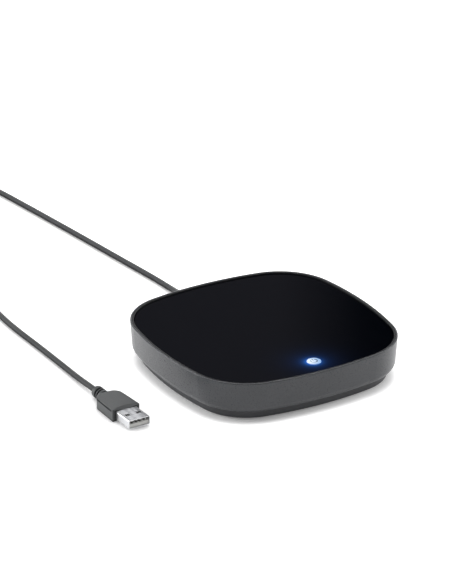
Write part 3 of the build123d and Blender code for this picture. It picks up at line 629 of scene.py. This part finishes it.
class MUGWARMER_OT_cord(bpy.types.Operator):
    """Lay the cord from the strain relief through its coil to the plug"""

    bl_idname = "mugwarmer.cord"
    bl_label = "Cord"

    def execute(self, context):
        lay = context.scene.warmer_cord
        finish = context.scene.warmer_finish
        route = np.vstack([LEAD_ROUTE, coil_route(lay), TAIL_ROUTE])
        curve = bpy.data.curves.new("power_cord", "CURVE")
        curve.dimensions = "3D"
        curve.bevel_depth = lay.diameter / 2
        curve.bevel_resolution = 5
        curve.use_fill_caps = True
        curve.resolution_u = 10
        spline = curve.splines.new("NURBS")
        spline.points.add(len(route) - 1)
        spline.points.foreach_set("co", np.column_stack([route, np.ones(len(route))]).ravel())
        spline.order_u = 3
        spline.use_endpoint_u = True
        cord = bpy.data.objects.new("power_cord", curve)
        context.scene.collection.objects.link(cord)
        # PVC, extruded over the conductors: smooth, with the slight waviness of the die; painted
        # shade darkens its sides and underside, and wherever anything lies within 6 mm, so that its
        # grey top reads as lit
        sheath = moulded_plastic(
            "extruded_PVC_black", finish.cord, 0.42, 1.2, 0.02, 6.0, Specular_IOR_Level=0.08
        )
        curve.materials.append(sheath)
        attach(cord, HOUSING)
        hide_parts("power_cord_lead", "power_cord_coil", "power_cord_tail")
        # the strain relief takes the same painted shade
        coat(sheath, "strain_relief")
        coat(woven_strap("woven_strap", linear("#28282a")), "cord_tie")
        return {"FINISHED"}


class MUGWARMER_OT_plug(bpy.types.Operator):
    """Finish the USB plug"""

    bl_idname = "mugwarmer.plug"
    bl_label = "USB Plug"

    def execute(self, context):
        finish = context.scene.warmer_finish
        # PVC, moulded over the connector: satin, with painted shade darkening its grooves and the
        # gaps between its neck rings, within 1.2 mm
        coat(
            moulded_plastic(
                "moulded_PVC_grey", finish.plug, 0.42, 0.5, 0.012, 1.2, Specular_IOR_Level=0.25
            ),
            "usb_plug_body",
        )
        # steel sheet, folded and nickel plated: bright, with drawing marks along the plug
        coat(
            worked_metal(
                "nickel_plated_steel", linear("#d9dadc"), 0.35, 2.0, (1, 0.1, 1), 0.001
            ),
            "usb_plug_shell",
        )
        coat(
            moulded_plastic("moulded_PBT_white", linear("#eeeeea"), 0.4, 0.4, 0.006),
            "usb_plug_tongue",
        )
        # phosphor bronze spring, nickel plated: grey, half bright
        coat(
            worked_metal("nickel_plated_bronze", linear("#a8a7a2"), 0.3, 0.4, (1, 0.1, 1)),
            "usb_plug_contacts",
        )
        return {"FINISHED"}


class MUGWARMER_OT_studio(bpy.types.Operator):
    """Set the floor, lamps, world and camera"""

    bl_idname = "mugwarmer.studio"
    bl_label = "Studio"

    def execute(self, context):
        studio = context.scene.warmer_studio
        self.make_floor(context, studio)
        self.make_world(context, studio)
        self.make_lamps(context)
        self.make_camera(context, studio)
        return {"FINISHED"}

    def make_floor(self, context, studio):
        """Round floor: rings of points, joined into quads, round a middle of one face.

        A ring's radius is r = 4 u ** 2 metres, with u in even steps from 0.02 to 1.
        """
        rings, around, reach = 12, 48, 4.0
        u, v = np.meshgrid(np.linspace(0.02, 1, rings), np.arange(around) / around, indexing="ij")
        radius, turn = reach * u**2, 2 * np.pi * v
        points = np.stack([radius * np.cos(turn), radius * np.sin(turn), 0 * u], axis=-1)
        i, k = np.meshgrid(np.arange(rings - 1), np.arange(around), indexing="ij")
        inner, nearby = around * i, (k + 1) % around
        outer = inner + around
        quads = np.stack([inner + k, outer + k, outer + nearby, inner + nearby], axis=-1)
        faces = quads.reshape(-1, 4).tolist() + [list(range(around))]
        mesh = bpy.data.meshes.new("floor")
        mesh.from_pydata(points.reshape(-1, 3).tolist(), [], faces)
        mesh.update()
        floor = bpy.data.objects.new("floor", mesh)
        context.scene.collection.objects.link(floor)
        # matt paper sweep: white where nothing shades it
        material, tree, shader, _ = new_finish("paper_sweep", studio.floor, 0.9)
        shader.inputs["Specular IOR Level"].default_value = 0.0
        path = add_node(tree, "ShaderNodeLightPath")
        lifted = 0.8  # white added to the sheet, for the camera and in mirrors
        mirrored = add_node(
            tree, "ShaderNodeMath", {0: path.outputs["Is Glossy Ray"], 1: lifted},
            operation="MULTIPLY",
        ).outputs[0]
        whitened = add_node(
            tree, "ShaderNodeMath",
            {0: path.outputs["Is Camera Ray"], 1: lifted, 2: mirrored}, operation="MULTIPLY_ADD",
        ).outputs[0]
        # the white is held back close before the object, which paints a contact shadow there: the
        # occlusion looks up and towards the back, where the object is
        toward = Vector((0.27, 0.45, 0.85)).normalized()
        shadow_reach = 7.5 * MM
        lean = add_node(tree, "ShaderNodeCombineXYZ", {"X": toward.x, "Y": toward.y, "Z": toward.z})
        openness = add_node(
            tree, "ShaderNodeAmbientOcclusion",
            {"Distance": shadow_reach, "Normal": lean.outputs[0]}, samples=8,
        ).outputs["AO"]
        # a fifth of the white is left where the object covers 58% or more of what is looked at
        shown = ranged(tree, openness, 0.2, 1, 0.42, 0.82)
        lift = add_node(
            tree, "ShaderNodeMath", {0: whitened, 1: shown}, operation="MULTIPLY"
        ).outputs[0]
        shader.inputs["Emission Color"].default_value = (1, 1, 1, 1)
        tree.links.new(lift, shader.inputs["Emission Strength"])
        # seen from below, the sheet is clear
        below = add_node(tree, "ShaderNodeNewGeometry").outputs["Backfacing"]
        clear = add_node(tree, "ShaderNodeBsdfTransparent").outputs[0]
        sheet = add_node(
            tree, "ShaderNodeMixShader", {0: below, 1: shader.outputs[0], 2: clear}
        ).outputs[0]
        tree.links.new(sheet, tree.nodes["Material Output"].inputs["Surface"])
        mesh.materials.append(material)

    def make_world(self, context, studio):
        """White for the camera; mirrors see a dim wall, darker at the right, and a rear ceiling."""
        world = bpy.data.worlds.new("studio")
        context.scene.world = world
        world.use_nodes = True
        tree = world.node_tree
        tree.nodes.clear()
        path = add_node(tree, "ShaderNodeLightPath")
        way = add_node(tree, "ShaderNodeTexCoord").outputs["Generated"]
        height = add_node(tree, "ShaderNodeSeparateXYZ", {"Vector": way}).outputs["Z"]
        side = add_node(
            tree, "ShaderNodeVectorMath", {0: way, 1: VIEW_RIGHT}, operation="DOT_PRODUCT"
        ).outputs["Value"]
        # the wall darkens between 0.7 and 1.7 degrees to the right of straight ahead
        wall = ranged(tree, side, 0.087, 0.005, 0.012, 0.03)
        rearward = add_node(
            tree, "ShaderNodeVectorMath", {0: way, 1: VIEW_AWAY}, operation="DOT_PRODUCT"
        ).outputs["Value"]
        # the ceiling opens between 34 and 46 degrees up, a tenth as bright on the camera's side
        opened = ranged(tree, height, 0.0, 1.5, 0.56, 0.72)
        held = ranged(tree, rearward, 0.1, 1.0, -0.2, 0.3)
        ceiling = add_node(
            tree, "ShaderNodeMath", {0: opened, 1: held}, operation="MULTIPLY"
        ).outputs[0]
        mirrored = add_node(
            tree, "ShaderNodeMath", {0: wall, 1: ceiling}, operation="ADD"
        ).outputs[0]
        even = add_node(
            tree, "ShaderNodeBackground", {"Color": (1, 1, 1, 1), "Strength": studio.sky}
        ).outputs[0]
        colour = blended(tree, ceiling, linear("#f0eeff"), (1, 1, 1))
        in_mirror = add_node(
            tree, "ShaderNodeBackground", {"Color": colour, "Strength": mirrored}
        ).outputs[0]
        white = add_node(
            tree, "ShaderNodeBackground", {"Color": (1, 1, 1, 1), "Strength": 1.0}
        ).outputs[0]
        glossy = add_node(
            tree, "ShaderNodeMath",
            {0: path.outputs["Is Glossy Ray"], 1: path.outputs["Is Transmission Ray"]},
            operation="MAXIMUM",
        ).outputs[0]
        first = add_node(
            tree, "ShaderNodeMixShader", {0: glossy, 1: even, 2: in_mirror}
        ).outputs[0]
        second = add_node(
            tree, "ShaderNodeMixShader", {0: path.outputs["Is Camera Ray"], 1: first, 2: white}
        ).outputs[0]
        add_node(tree, "ShaderNodeOutputWorld", {"Surface": second})

    def make_lamps(self, context):
        """Area lamps: name, place, aim, width, height and power."""
        lamps = [
            ("left_rear", (-1.05, 0.95, 0.4), (0, 0, 0.01), 0.7, 0.5, 12.5),
            ("right", (1.4, -0.25, 0.45), (0, 0, 0.01), 0.7, 0.5, 11.5),
            ("rear", (0.7, 1.3, 0.3), (0, 0, 0.01), 1.0, 0.4, 4.5),
            ("top", (0.05, 0.2, 1.6), (0, 0, 0.01), 1.2, 1.2, 4.0),
        ]
        for name, place, aim, width, height, power in lamps:
            data = bpy.data.lights.new(name, "AREA")
            data.shape = "RECTANGLE"
            data.size = width
            data.size_y = height
            data.energy = power
            lamp = bpy.data.objects.new(name, data)
            context.scene.collection.objects.link(lamp)
            lamp.location = place
            along = Vector(aim) - Vector(place)
            lamp.rotation_euler = along.to_track_quat("-Z", "Y").to_euler()

    def make_camera(self, context, studio):
        """Long lens from the front left, a little above."""
        data = bpy.data.cameras.new("camera")
        data.lens = studio.lens
        data.sensor_width = SENSOR_WIDTH
        data.clip_start, data.clip_end = 0.1, 20
        camera = bpy.data.objects.new("camera", data)
        context.scene.collection.objects.link(camera)
        place, aim = Vector(CAMERA_PLACE), Vector(CAMERA_AIM)
        camera.location = place
        roll = Matrix.Rotation(CAMERA_ROLL, 3, "Z")
        turn = (aim - place).to_track_quat("-Z", "Y").to_matrix()
        camera.rotation_euler = (turn @ roll).to_euler()
        context.scene.camera = camera
        context.scene.view_settings.view_transform = "Standard"


STEPS = [
    MUGWARMER_OT_housing,
    MUGWARMER_OT_panel,
    MUGWARMER_OT_button,
    MUGWARMER_OT_heater,
    MUGWARMER_OT_board,
    MUGWARMER_OT_cord,
    MUGWARMER_OT_plug,
    MUGWARMER_OT_studio,
]


class MUGWARMER_PT_sidebar(bpy.types.Panel):
    """Steps of the mug warmer in the 3D view's sidebar"""

    bl_label = "Mug Warmer"
    bl_idname = "MUGWARMER_PT_sidebar"
    bl_space_type = "VIEW_3D"
    bl_region_type = "UI"
    bl_category = "Mug Warmer"

    def draw(self, context):
        for step in STEPS:
            self.layout.operator(step.bl_idname)


GROUPS = {
    "warmer_finish": WarmerFinish,
    "warmer_mark": MarkSizes,
    "warmer_cord": CordLay,
    "warmer_studio": StudioSetup,
}


def register():
    for name, group in GROUPS.items():
        bpy.utils.register_class(group)
        setattr(bpy.types.Scene, name, bpy.props.PointerProperty(type=group))
    for kind in (*STEPS, MUGWARMER_PT_sidebar):
        bpy.utils.register_class(kind)


def unregister():
    for kind in (*STEPS, MUGWARMER_PT_sidebar):
        bpy.utils.unregister_class(kind)
    for name, group in GROUPS.items():
        delattr(bpy.types.Scene, name)
        bpy.utils.unregister_class(group)


def main():
    register()
    for step in STEPS:
        group, name = step.bl_idname.split(".")
        getattr(getattr(bpy.ops, group), name)()
    bpy.context.view_layer.update()


if __name__ == "__main__":
    main()
